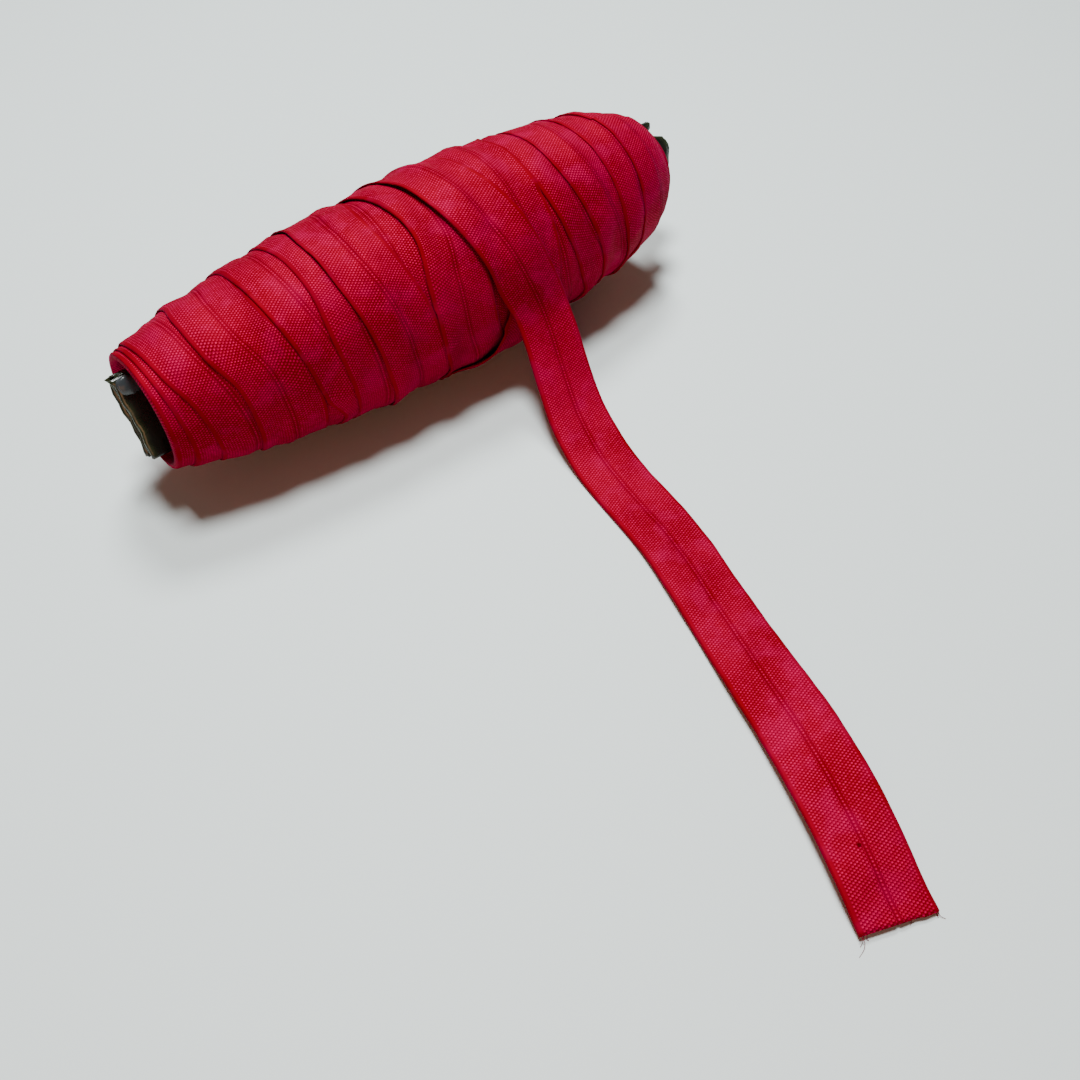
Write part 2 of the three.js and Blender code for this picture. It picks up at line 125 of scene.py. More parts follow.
# The loose end from the roll to its cut end: its middle, the heading of the ribbon's width from the roll's
# line, and how much higher its right edge is than its left
TAIL_FREE = (
    {"x": 19.4, "y": -27.6, "z": 21.6, "heading": -2, "bank": -1.2},
    {"x": 18.8, "y": -31.3, "z": 17.6, "heading": -6, "bank": -2.4},
    {"x": 17.5, "y": -35.8, "z": 13.4, "heading": -8, "bank": -3.1},
    {"x": 15.8, "y": -41.2, "z": 9.0, "heading": -9, "bank": -2.8},
    {"x": 14.1, "y": -46.7, "z": 5.5, "heading": -10, "bank": -1.9},
    {"x": 12.5, "y": -53.0, "z": 3.0, "heading": -11, "bank": -1.0},
    {"x": 11.0, "y": -60.0, "z": 1.3, "heading": -11, "bank": -0.5},
    {"x": 9.7, "y": -67.5, "z": 0.6, "heading": -10, "bank": -0.4},
    {"x": 8.5, "y": -75.3, "z": 0.5, "heading": -10, "bank": -0.4},
    {"x": 7.2, "y": -83.4, "z": 0.6, "heading": -12, "bank": -0.6},
    {"x": 5.3, "y": -91.5, "z": 0.8, "heading": -15, "bank": -1.0},
    {"x": 3.1, "y": -98.8, "z": 0.9, "heading": -16, "bank": -1.2},
    {"x": 1.0, "y": -105.6, "z": 0.9, "heading": -17, "bank": -1.0},
    {"x": -0.9, "y": -111.8, "z": 1.0, "heading": -17, "bank": -0.5},
    {"x": -3.0, "y": -118.2, "z": 1.4, "heading": -18, "bank": 0.1},
    {"x": -5.1, "y": -124.4, "z": 2.0, "heading": -18, "bank": 0.6},
    {"x": -7.1, "y": -130.4, "z": 2.5, "heading": -18, "bank": 1.2},
    {"x": -9.0, "y": -136.3, "z": 3.0, "heading": -19, "bank": 1.8},
    {"x": -11.1, "y": -142.0, "z": 3.4, "heading": -20, "bank": 2.1},
    {"x": -13.2, "y": -147.6, "z": 3.6, "heading": -21, "bank": 1.9},
    {"x": -15.3, "y": -152.9, "z": 3.6, "heading": -22, "bank": 1.3},
    {"x": -17.4, "y": -158.0, "z": 3.4, "heading": -23, "bank": 0.5},
    {"x": -19.5, "y": -162.9, "z": 3.0, "heading": -24, "bank": -0.3},
    {"x": -21.6, "y": -167.4, "z": 2.5, "heading": -24, "bank": -1.0},
    {"x": -23.2, "y": -171.3, "z": 1.6, "heading": -23, "bank": -1.2},
    {"x": -24.8, "y": -175.35, "z": 0.85, "heading": -23, "bank": -1.0},
)

# Threads of the cut end: where they leave it, how far they go on and to the side, and their curl
THREAD_RADIUS = 0.07
THREAD_COLOUR_PLACE = 7.6    # across the ribbon: the threads have this place's colour
THREADS = (
    {"across": -7.9, "ahead": 2.8, "over": -1.4, "curl": 0.7},
    {"across": -7.4, "ahead": 1.3, "over": -0.9, "curl": 0.1},
    {"across": -6.6, "ahead": 0.8, "over": 0.3, "curl": -0.1},
    {"across": 2.1, "ahead": 0.7, "over": -0.2, "curl": 0.1},
    {"across": 6.9, "ahead": 1.0, "over": 0.4, "curl": 0.2},
    {"across": 7.6, "ahead": 1.6, "over": 0.8, "curl": -0.2},
)

# Half the ribbon's section, from a selvedge to the middle: each place's distance from the middle and how far
# it is below the top face. The selvedge is rounded and the fold line is sunk.
HALF_SECTION = (
    {"away": 8.0, "drop": 0.34},
    {"away": 7.93, "drop": 0.18},
    {"away": 7.75, "drop": 0.07},
    {"away": 7.4, "drop": 0.02},
    {"away": 6.9, "drop": 0.04},
    {"away": 6.4, "drop": 0.0},
    {"away": 4.8, "drop": -0.02},
    {"away": 3.2, "drop": 0.0},
    {"away": 1.8, "drop": 0.0},
    {"away": 0.9, "drop": -0.02},
    {"away": 0.4, "drop": 0.05},
    {"away": 0.0, "drop": 0.03},
)
UNDERSIDE = {"places": (7.9, 4.0, 0.0, -4.0, -7.9), "drop": 0.45}
MIDDLE = len(HALF_SECTION) - 1       # the section's point on the fold line
RIGHT_EDGE = 2 * MIDDLE              # and on the right selvedge

# The core: a bundle of film folded back and forth, standing steeply in the roll. Its right end recedes from
# its furthest point, with a notch and a cut corner, and its left end has a torn tip.
CORE_TILT_DEG = 60
CORE_HALF_WIDTH = 10.2
CORE_LEFT = -75.1
CORE_RIGHT = {"x": 87, "across": -4, "fall": 0.045}
FILM_LAYERS = 8
FILM_THICK = 0.22
FILM_PITCH = 0.62
FILM_FOLD_ROOM = 0.8                 # at the bundle's edges, for the folds
FILM_INSET = (0.0, 0.5, 1.3, 2.2, 2.4, 1.6, 0.5, 0.1)    # of each layer at the left end
LEFT_TIP = {"across": 9.6, "wide": 0.8, "long": 1.2}
RIGHT_NOTCH = {"across": 7.0, "wide": 1.7, "deep": 6.0}
RIGHT_CORNER = {"from": 8.4, "to": 9.4, "deep": 2.0}
LOOSE_SHARE = 0.08                   # of the bundle's length, where its layers stand apart at each end
FLAP = {"x": -72.7, "lean": 0.6, "half": 2.3, "across": -9.2, "long": 4.2, "depth": 2.8, "thick": 0.16}

# The way through the roll: round mouths that close onto the core
BORE = (
    {"x": -72.0, "round": 1.0},
    {"x": -70.0, "round": 0.97},
    {"x": -67.5, "round": 0.75},
    {"x": -64.5, "round": 0.3},
    {"x": -61.5, "round": 0.0},
    {"x": -36.0, "round": 0.0},
    {"x": -10.5, "round": 0.0},
    {"x": 15.0, "round": 0.0},
    {"x": 40.5, "round": 0.0},
    {"x": 66.0, "round": 0.0},
    {"x": 69.0, "round": 0.3},
    {"x": 71.5, "round": 0.7},
    {"x": 74.0, "round": 0.95},
    {"x": 76.0, "round": 1.0},
)
MOUTH_RADIUS = {"left": 12.7, "right": 11.6}
SLOT_HALF_WIDTH = CORE_HALF_WIDTH + 0.45
SLOT_HALF_THICK = 2.95
SLOT_CORNER = 0.25                   # power of the sine and cosine: 1 is an ellipse, 0 a rectangle
INSIDE = {"around": 120, "rings": 60, "cover": 0.25, "across": 3.0, "along": 80}

# The grid that the turns are laid on, and how the ribbon spans what is under it: how far it looks to each
# side, and how far it can drop in a millimetre across and along
GRID = {"from": -74.0, "to": 78.0, "cell": 0.25, "around": 180}
ACROSS_POINTS = 65
SPAN_REACH = 3.0
SPAN_FALL = 0.3
SPAN_SOFTENING = (0.1, 0.2, 0.4, 0.2, 0.1)
SLOPE_STEP = 0.005                   # of a turn, on each side of where the ribbon's slant is read

# The finished surface follows the profile over about this much to each side, in millimetres and degrees
MEAN_REACH = 9.0
MEAN_DEG = 57

# Crumples of the ribbon: crossing waves that sway along it
WAVES = (
    {"high": 1.0, "along": 0.31, "across": 0.35, "sway": 1.7, "sway_along": 0.071, "start": 1, "seeds": 1},
    {"high": 0.7, "along": 0.53, "across": -0.62, "sway": 1.3, "sway_along": 0.113, "start": 0, "seeds": 2},
    {"high": 0.4, "along": 1.13, "across": 0.9, "sway": 1.1, "sway_along": 0.19, "start": 0, "seeds": 3},
)
CRUMPLE = {"broad": 0.1, "fine": 0.03, "loose_end": 0.16}
EVEN_CRUMPLE = 0.5                   # the share that the turns under the outer ones and the tail have
TABLE = 0.02                         # lowest height of the loose end


# Helpers

def through(rows, start, value):
    """A smooth function through one column of a table."""
    at = np.array([row[start] for row in rows], float)
    to = np.array([row[value] for row in rows], float)
    slope = np.gradient(to, at)
    slope[1:-1] = (to[2:] - to[:-2]) / (at[2:] - at[:-2])

    def read(place):
        i = np.clip(np.searchsorted(at, place) - 1, 0, len(at) - 2)
        span = at[i + 1] - at[i]
        s = np.clip((place - at[i]) / span, 0, 1)
        return hermite(to[i], to[i + 1], slope[i] * span, slope[i + 1] * span, s)

    return read


def hermite(left, right, left_slope, right_slope, s):
    """The cubic from one value to another with given slopes, at a share of the way."""
    start = left * (2 * s**3 - 3 * s**2 + 1) + left_slope * (s**3 - 2 * s**2 + s)
    return start + right * (3 * s**2 - 2 * s**3) + right_slope * (s**3 - s**2)


def smooth_step(value, low, high):
    s = np.clip((value - low) / (high - low), 0, 1)
    return s * s * (3 - 2 * s)


def ripple(along, across, seed=0.0):
    """An uneven ripple, at most one millimetre high."""
    total = 0.0
    for wave in WAVES:
        sway = wave["sway"] * np.sin(wave["sway_along"] * along + wave["seeds"] * seed)
        phase = wave["along"] * along + wave["across"] * across + sway + wave["start"] * seed
        total = total + wave["high"] * np.sin(phase)
    return total / sum(wave["high"] for wave in WAVES)


profile = through(PROFILE, "x", "radius")


def axis_height(x):
    return AXIS["z"] + AXIS["rise"] * x + AXIS["bow"] * x * x


def roll_point(x, deg, radius):
    """Points of the roll from their place along it, their angle from the top to the front, and radius."""
    angle = np.radians(deg)
    height = axis_height(x) + radius * np.cos(angle)
    return np.stack([x + 0 * angle, -radius * np.sin(angle), height], axis=-1)


def section_columns():
    """The closed section's points: their places across the ribbon and their depths below its top face."""
    rows = list(HALF_SECTION)
    mirrored = rows[-2::-1]
    places = [-row["away"] for row in rows] + [row["away"] for row in mirrored]
    drops = [row["drop"] for row in rows + mirrored]
    places += UNDERSIDE["places"]
    drops += [UNDERSIDE["drop"]] * len(UNDERSIDE["places"])
    return np.array(places), np.array(drops)


section_places, section_drops = section_columns()


# Laying the turns

def ribbon_path():
    """The knots of the ribbon's middle: turn number with its fraction, and place along the roll."""
    knots = [{"turn": row["turn"], "x": row["x"]} for row in UNDER_TURNS]
    for turn, row in enumerate(OUTER_TURNS):
        for deg, edge in zip(EDGE_DEG, row["edge"]):
            knots.append({"turn": turn + deg / 360, "x": edge + WIDTH / 2})
    last = len(OUTER_TURNS) - 1
    knots += [{"turn": last + row["deg"] / 360, "x": row["x"]} for row in SLACK]
    knots += [{"turn": last + 1 + row["deg"] / 360, "x": row["x"]} for row in TAIL_ON_ROLL]
    return knots


seam = len(OUTER_TURNS) + SEAM_DEG / 360


def looseness(turn, deg):
    """How far the ribbon lies off what is under it, and how much it is crumpled."""
    if turn < -0.5:
        return 0.0, EVEN_CRUMPLE
    if turn > seam:
        front = smooth_step(deg, -40, 5)
        return TAIL_LOOSE["back"] + (TAIL_LOOSE["front"] - TAIL_LOOSE["back"]) * front, EVEN_CRUMPLE
    row = OUTER_TURNS[min(int(round(turn)), len(OUTER_TURNS) - 1)]
    more_at_the_top = 0.65 + 0.35 * math.cos(math.radians(deg))
    return row["loose"] * more_at_the_top, row["crumple"]


def spanned(under, step):
    """The line that the ribbon takes over the heights under it."""
    line = under.copy()
    for away in range(1, int(SPAN_REACH / step) + 1):
        drop = SPAN_FALL * away * step
        line[away:] = np.maximum(line[away:], under[:-away] - drop)
        line[:-away] = np.maximum(line[:-away], under[away:] - drop)
    padded = np.pad(line, len(SPAN_SOFTENING) // 2, mode="edge")
    return np.convolve(padded, SPAN_SOFTENING, mode="valid")


def slack_lift(turn, deg, lift):
    """How far the last turn hangs off the roll in its slack stretch."""
    last = len(OUTER_TURNS) - 1
    in_stretch = last < turn < last + 0.6 and SLACK[0]["deg"] < deg < SLACK[-1]["deg"]
    return float(lift(deg)) if in_stretch else 0.0


def lay_turns():
    """Lays the ribbon and returns the finished heights and a record of each step."""
    around = GRID["around"]
    cells = np.arange(GRID["from"], GRID["to"] + GRID["cell"] / 2, GRID["cell"])
    heights = np.zeros((around, len(cells)))
    path = through(ribbon_path(), "turn", "x")
    lift = through(SLACK, "deg", "lift")
    across = np.linspace(-WIDTH / 2, WIDTH / 2, ACROSS_POINTS)
    spacing = across[1] - across[0]
    start = UNDER_TURNS[0]["turn"]
    end = len(OUTER_TURNS) + TAIL_ON_ROLL[-1]["deg"] / 360
    steps = []
    before = None
    along = 0.0
    for count in range(int((end - start) * around) + 1):
        turn = start + count / around
        ring = count % around
        deg = ring * 360 / around
        signed = deg if deg <= 180 else deg - 360
        middle = float(path(turn))
        radius = float(profile(middle))
        moved = float(path(turn + SLOPE_STEP) - path(turn - SLOPE_STEP))
        slope = moved / (2 * SLOPE_STEP) / (2 * math.pi * radius)
        lean = math.sqrt(1 + slope * slope)
        x = middle + across * lean
        under = np.interp(x, cells, heights[ring])
        line = spanned(under, spacing)
        length = 2 * math.pi * radius / around * lean
        if before is not None:
            line = np.maximum(line, before - SPAN_FALL * length)
        before = line
        loose, crumple = looseness(turn, signed)
        broad = CRUMPLE["broad"] * ripple(along, across)
        fine = CRUMPLE["fine"] * ripple(2.5 * along, 2 * across, 1.0)
        top = line + THICK + loose + crumple * (broad + fine)
        inside = (cells >= x[0]) & (cells <= x[-1])
        heights[ring, inside] = np.interp(cells[inside], x, top)
        steps.append({
            "turn": turn, "deg": signed, "x": x, "top": top + slack_lift(turn, deg, lift), "across": across,
            "along": along, "slope": slope,
        })
        along += length
    return cells, heights, steps


def mean_heights(cells, heights):
    """The mean height near each place, over a stretch that narrows at the roll's ends."""
    total = np.pad(np.cumsum(heights, axis=1), ((0, 0), (1, 0)))
    reach = np.minimum(MEAN_REACH, np.minimum(cells - PROFILE[0]["x"], PROFILE[-1]["x"] - cells))
    half = (np.maximum(reach, 0.5) / GRID["cell"]).astype(int)
    index = np.arange(len(cells))
    low = np.clip(index - half, 0, len(cells) - 1)
    high = np.clip(index + half + 1, 1, len(cells))
    along = (total[:, high] - total[:, low]) / (high - low)
    rings = int(MEAN_DEG / 360 * GRID["around"])
    return sum(np.roll(along, away, axis=0) for away in range(-rings, rings + 1)) / (2 * rings + 1)


cells, heights, steps = lay_turns()
mean = mean_heights(cells, heights)
loose_steps = [step for step in steps if step["turn"] >= seam - 1 / GRID["around"]]


def finished_radius(x, deg, height):
    """The radius of a laid height, at places along the roll and one angle round it."""
    place = np.clip(x, PROFILE[0]["x"], PROFILE[-1]["x"])
    ring = int(round(deg / 360 * GRID["around"])) % GRID["around"]
    return profile(place) + height - np.interp(place, cells, mean[ring])


# Meshes

def add_piece(name, points, faces, coordinates):
    """A piece from its points, faces and each point's place on the ribbon or film, in millimetres."""
    mesh = bpy.data.meshes.new(name)
    mesh.from_pydata((np.asarray(points) * MM).tolist(), [], faces)
    mesh.polygons.foreach_set("use_smooth", [True] * len(mesh.polygons))
    layer = mesh.uv_layers.new(name="place")
    corner = np.empty(len(mesh.loops), np.int32)
    mesh.loops.foreach_get("vertex_index", corner)
    layer.data.foreach_set("uv", np.asarray(coordinates, np.float32)[corner].ravel())
    mesh.validate()
    piece = bpy.data.objects.new(name, mesh)
    bpy.context.scene.collection.objects.link(piece)
    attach(piece, "root")
    return piece


def wall_faces(rings, count, closed=False):
    """Quads between rings of points, and from the last ring to the first where the wall is closed."""
    index = np.arange(rings * count).reshape(rings, count)
    here = index if closed else index[:-1]
    ahead = np.roll(index, -1, axis=0) if closed else index[1:]
    quads = np.stack([here, np.roll(here, -1, axis=1), np.roll(ahead, -1, axis=1), ahead], axis=-1)
    return quads.reshape(-1, 4).tolist()


def strip_faces(rings, count):
    """The wall of a solid strip with a cap at each end."""
    index = np.arange(rings * count).reshape(rings, count)
    return wall_faces(rings, count) + [index[0][::-1].tolist(), index[-1].tolist()]


def ribbon_sections(some_steps):
    """The closed sections of a stretch of laid ribbon, and each point's place across and along it."""
    sections = []
    coordinates = []
    for step in some_steps:
        x = np.interp(section_places, step["across"], step["x"])
        height = np.interp(section_places, step["across"], step["top"]) - section_drops
        section = roll_point(x, step["deg"], finished_radius(x, step["deg"], height))
        section[:, 2] = np.maximum(section[:, 2], 0.0)
        sections.append(section)
        along = step["along"] + section_places * step["slope"]
        coordinates.append(np.stack([section_places, along], axis=-1))
    return np.array(sections), np.array(coordinates)


def add_ribbon(name, first, last):
    sections, coordinates = ribbon_sections([step for step in steps if first <= step["turn"] <= last])
    faces = strip_faces(len(sections), sections.shape[1])
    return add_piece(name, sections.reshape(-1, 3), faces, coordinates.reshape(-1, 2))


under_turns = add_ribbon("under_turns", UNDER_TURNS[0]["turn"], -0.25)
left_turns = add_ribbon("left_turns", -0.25, 7.5)
right_turns = add_ribbon("right_turns", 7.5, seam)


# Inside of the roll

def core_point(x, across, thick):
    """Points from their place along the roll, across the core's width and through its thickness."""
    tilt = math.radians(CORE_TILT_DEG)
    return np.stack([
        x + 0 * across,
        -across * math.cos(tilt) - thick * math.sin(tilt),
        axis_height(x) - across * math.sin(tilt) + thick * math.cos(tilt),
    ], axis=-1)


def bore_ring(row, angle):
    """The bore is a round-cornered slot round the core and opens out to a round mouth."""
    mouth = MOUTH_RADIUS["left"] if row["x"] < 0 else MOUTH_RADIUS["right"]
    square_cos = np.sign(np.cos(angle)) * np.abs(np.cos(angle)) ** SLOT_CORNER
    square_sin = np.sign(np.sin(angle)) * np.abs(np.sin(angle)) ** SLOT_CORNER
    across = (1 - row["round"]) * SLOT_HALF_WIDTH * square_cos + row["round"] * mouth * np.cos(angle)
    thick = (1 - row["round"]) * SLOT_HALF_THICK * square_sin + row["round"] * mouth * np.sin(angle)
    return core_point(row["x"], across, thick)


def add_inside():
    """What the turns are wound on and the way through it: its inner wall shows in the open end."""
    angle = np.linspace(0, 2 * math.pi, INSIDE["around"], endpoint=False)
    deg = 90 + CORE_TILT_DEG - np.degrees(angle)
    cover = INSIDE["cover"]
    rings = []
    for x in np.linspace(PROFILE[0]["x"] + cover, PROFILE[-1]["x"] - cover, INSIDE["rings"]):
        radius = np.array([finished_radius(x, angle_deg, cover) for angle_deg in deg])
        rings.append(roll_point(np.full_like(deg, x), deg, radius))
    for row in reversed(BORE):
        rings.append(bore_ring(row, angle))
    rings = np.array(rings)
    coordinates = np.stack([
        np.full(rings.shape[:2], INSIDE["across"]),
        np.broadcast_to(np.linspace(0, INSIDE["along"], rings.shape[1]), rings.shape[:2]),
    ], axis=-1)
    faces = wall_faces(len(rings), rings.shape[1], closed=True)
    return add_piece("inside", rings.reshape(-1, 3), faces, coordinates.reshape(-1, 2))


inside = add_inside()


# Loose end

def free_section(row):
    """The middle of a section off the roll, and the heading of its width."""
    heading = math.radians(row["heading"])
    over = np.array([math.cos(heading), math.sin(heading), row["bank"] / WIDTH])
    return np.array([row["x"], row["y"], row["z"]]), over / np.linalg.norm(over)


def loose_end_stations():
    """The sections that the loose end runs through: on the roll as laid, then down and along the table."""
    stations = list(ribbon_sections(loose_steps[::4])[0])
    rows = [free_section(row) for row in TAIL_FREE]
    fuller = LOOSE_THICK / THICK
    for i, (middle, over) in enumerate(rows):
        ahead = rows[min(i + 1, len(rows) - 1)][0] - rows[max(i - 1, 0)][0]
        up = np.cross(over, ahead)
        up *= np.sign(up[2]) / np.linalg.norm(up)
        depth = LOOSE_THICK / 2 - section_drops * fuller
        section = middle + section_places[:, None] * over + depth[:, None] * up
        section[:, 2] = np.maximum(section[:, 2], TABLE + LOOSE_THICK - section_drops * fuller)
        stations.append(section)
    return np.array(stations)


def curve_through(stations, fineness):
    """Sections on smooth curves through the stations, and how far along each is."""
    gaps = np.linalg.norm(np.diff(stations[:, MIDDLE], axis=0), axis=1)
    at = np.concatenate([[0.0], np.cumsum(gaps)])
    slope = np.gradient(stations, at, axis=0)
    wanted = np.linspace(0, at[-1], int(at[-1] / fineness) + 1)
    i = np.clip(np.searchsorted(at, wanted) - 1, 0, len(at) - 2)
    span = (at[i + 1] - at[i])[:, None, None]
    s = ((wanted - at[i]) / (at[i + 1] - at[i]))[:, None, None]
    return hermite(stations[i], stations[i + 1], slope[i] * span, slope[i + 1] * span, s), wanted


def thread_rings(corner, over, ahead, thread):
    """A frayed thread of the cut end, from inside the ribbon out onto the table."""
    way = np.linspace(0, 1, 9)[:, None]
    line = corner + ahead * (thread["ahead"] * way - 0.25) + over * thread["over"] * way**2
    line = line + over * thread["curl"] * np.sin(math.pi * way)
    line[:, 2] = corner[2] + (THREAD_RADIUS + 0.05 - corner[2]) * np.sin(math.pi / 2 * way[:, 0])
    angle = np.radians((0, 120, 240))
    ring = over * np.cos(angle)[:, None] + np.array([0, 0, 1]) * np.sin(angle)[:, None]
    return line[:, None, :] + THREAD_RADIUS * ring[None, :, :]


def add_loose_end():
    """The loose end with its crumples and ragged cut: the piece, its length, and where its cut end is."""
    sections, along = curve_through(loose_end_stations(), 0.8)
    free = smooth_step(along, 70, 90)
    crumple = ripple(along[:, None], section_places[None, :], 2.0) * CRUMPLE["loose_end"] * free[:, None]
    sections[..., 2] = np.maximum(sections[..., 2] + crumple, TABLE)
    ahead = sections[-1, MIDDLE] - sections[-4, MIDDLE]
    ahead /= np.linalg.norm(ahead)
    ragged = np.sin(2.9 * section_places) + 0.7 * np.sin(5.3 * section_places + 1.0)
    sections[-1] += 0.12 * ragged[:, None] * ahead
    start = loose_steps[0]["along"]
    cut = start + along[-1]
    faces = strip_faces(len(sections), sections.shape[1])
    points = list(sections.reshape(-1, 3))
    places = np.broadcast_arrays(section_places[None, :], start + along[:, None])
    coordinates = list(np.stack(places, axis=-1).reshape(-1, 2))
    width = sections[-1, RIGHT_EDGE] - sections[-1, 0]
    for thread in THREADS:
        corner = sections[-1, MIDDLE] + width * thread["across"] / WIDTH
        rings = thread_rings(corner, width / np.linalg.norm(width), ahead, thread)
        faces += [[len(points) + i for i in face] for face in strip_faces(len(rings), rings.shape[1])]
        points += list(rings.reshape(-1, 3))
        coordinates += [(THREAD_COLOUR_PLACE, cut)] * (len(rings) * rings.shape[1])
    return add_piece("loose_end_ribbon", points, faces, coordinates), along[-1], cut


loose_end, loose_length, cut_end = add_loose_end()


# Core of folded film

def film_line():
    """The folded film's middle line: place across, place through the bundle, and layer."""
    bend = FILM_PITCH / 2
    inset = CORE_HALF_WIDTH - FILM_FOLD_ROOM
    line = []
    for layer in range(FILM_LAYERS):
        out = 1 if layer % 2 == 0 else -1
        depth = (layer - (FILM_LAYERS - 1) / 2) * FILM_PITCH
        for part in np.linspace(-1, 1, 17):
            line.append((part * out * inset, depth, layer))
        if layer < FILM_LAYERS - 1:
            for turn in np.radians((-60, -30, 0, 30, 60)):
                fold_across = out * (inset + bend * math.cos(turn))
                line.append((fold_across, depth + bend + bend * math.sin(turn), layer + 0.5))
    return np.array(line)


def film_ends(across, layer):
    """Where the film is cut at the roll's left and right."""
    ragged = 0.22 * np.sin(1.3 * across + 2.3 * layer) + 0.3 * np.sin(0.45 * across + 1.9 * layer)
    tip = np.exp(-((across + LEFT_TIP["across"]) / LEFT_TIP["wide"]) ** 2) * np.sin(2.1 * layer)
    inset = np.interp(layer, range(FILM_LAYERS), FILM_INSET)
    left = CORE_LEFT + 0.6 * ragged - LEFT_TIP["long"] * tip + inset
    notch = np.exp(-((across + RIGHT_NOTCH["across"]) / RIGHT_NOTCH["wide"]) ** 2)
    corner = smooth_step(-across, RIGHT_CORNER["from"], RIGHT_CORNER["to"])
    right = CORE_RIGHT["x"] - CORE_RIGHT["fall"] * (across - CORE_RIGHT["across"]) ** 2 + ragged
    return left, right - RIGHT_NOTCH["deep"] * notch - RIGHT_CORNER["deep"] * corner


def sheet_faces(rings, half_count):
    """A sheet whose rings go out along one face and back along the other, with quads at its cut ends."""
    count = 2 * half_count
    faces = wall_faces(rings, count)
    last = (rings - 1) * count
    for ring, turned in ((0, True), (last, False)):
        for j in range(half_count - 1):
            quad = [ring + j, ring + j + 1, ring + count - 2 - j, ring + count - 1 - j]
            faces.append(quad[::-1] if turned else quad)
    return faces


def add_core():
    line = film_line()
    tangent = np.gradient(line[:, :2], axis=0)
    tangent /= np.linalg.norm(tangent, axis=1)[:, None]
    offset = np.stack([-tangent[:, 1], tangent[:, 0]], axis=-1) * FILM_THICK / 2
    outline = np.concatenate([line[:, :2] + offset, (line[:, :2] - offset)[::-1]])
    layer = np.concatenate([line[:, 2], line[::-1, 2]])
    across = outline[:, 0]
    left, right = film_ends(across, layer)
    rings = []
    coordinates = []
    end_shares = np.linspace(0, 0.1, 16)
    middle_shares = np.linspace(0.2, 0.8, 7)
    for share in np.concatenate([end_shares, middle_shares, np.linspace(0.9, 1, 12)]):
        x = left + (right - left) * share
        to_end = min(share, 1 - share)
        loose = max(1 - to_end / LOOSE_SHARE, 0) ** 2
        spread = outline[:, 1] * (1 + 0.1 * loose)
        waved = 0.1 * np.sin(0.8 * across + 0.9 * x + layer) * loose
        rings.append(core_point(x, across, spread + waved))
        coordinates.append(np.stack([x - left, right - x], axis=-1))
    faces = sheet_faces(len(rings), len(line))
    points = np.array(rings).reshape(-1, 3)
    return add_piece("film_core", points, faces, np.array(coordinates).reshape(-1, 2))


core = add_core()


def add_flap():
    """A loose tongue of film that curls up on the bundle's front face inside the open end."""
    short_way = np.linspace(-1, 1, 11)
    top = []
    for s in np.linspace(0, 1, 15):
        half = FLAP["half"] * math.sqrt(max(1 - (2 * s - 1) ** 4, 0.02))
        x = FLAP["x"] + half * short_way + FLAP["lean"] * s
        depth = FLAP["depth"] + 0.5 * np.cos(1.4 * short_way) + 0.4 * math.sin(math.pi * s)
        top.append(core_point(x, np.full_like(x, FLAP["across"] + FLAP["long"] * s), depth))
    top = np.array(top)
    none = np.zeros(1)
    under = top - (core_point(0.0, none, FLAP["thick"]) - core_point(0.0, none, 0.0))
    rings = np.concatenate([top, under[:, ::-1]], axis=1)
    faces = sheet_faces(len(rings), top.shape[1])
    away_from_cuts = np.full((len(rings) * rings.shape[1], 2), 9.0)
    return add_piece("film_flap", rings.reshape(-1, 3), faces, away_from_cuts)


flap = add_flap()

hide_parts("winding")
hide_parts("core")
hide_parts("loose_end")


# Materials

class Nodes:
    """Short calls for building a node tree."""

    def __init__(self, tree):
        self.tree = tree

    def add(self, kind, **settings):
        node = self.tree.nodes.new(kind)
        for name, value in settings.items():
            setattr(node, name, value)
        return node

    def put(self, source, socket):
        if isinstance(source, bpy.types.NodeSocket):
            self.tree.links.new(source, socket)
        else:
            socket.default_value = source

    def maths(self, operation, first, second=None, third=None):
        node = self.add("ShaderNodeMath", operation=operation)
        for source, socket in zip((first, second, third), node.inputs):
            if source is not None:
                self.put(source, socket)
        return node.outputs[0]

    def ramp(self, value, low, high, to_low=0.0, to_high=1.0):
        node = self.add("ShaderNodeMapRange", interpolation_type="SMOOTHSTEP")
        for source, socket in zip((value, low, high, to_low, to_high), node.inputs):
            self.put(source, socket)
        return node.outputs[0]

    def mix(self, amount, first, second):
        node = self.add("ShaderNodeMix", data_type="RGBA")
        self.put(amount, node.inputs["Factor"])
        self.put(first, node.inputs[6])
        self.put(second, node.inputs[7])
        return node.outputs[2]

    def noise(self, vector, scale, detail=2.0):
        node = self.add("ShaderNodeTexNoise")
        self.put(vector, node.inputs["Vector"])
        node.inputs["Scale"].default_value = scale
        node.inputs["Detail"].default_value = detail
        return node.outputs["Fac"]

    def bump(self, height, strength, distance):
        node = self.add("ShaderNodeBump")
        node.inputs["Strength"].default_value = strength
        node.inputs["Distance"].default_value = distance
        self.put(height, node.inputs["Height"])
        return node.outputs["Normal"]


# The weave: satin stitches stand in columns across the ribbon, each column shifted from the next
COLUMN = 0.572               # from column to column, across the ribbon
STITCH = 0.693               # from stitch to stitch, along it
SHIFT = 0.43                 # of a stitch, from one column to the next
OVAL_WIDE = 0.42             # half a stitch's width, as a share of the column
OVAL_TALL = 0.27             # and half its length, as a share of the row
SELVEDGE = 7.05              # the selvedges begin this far from the middle
FOLD_LINE = 0.42             # and the fold line's furrows are this far from it

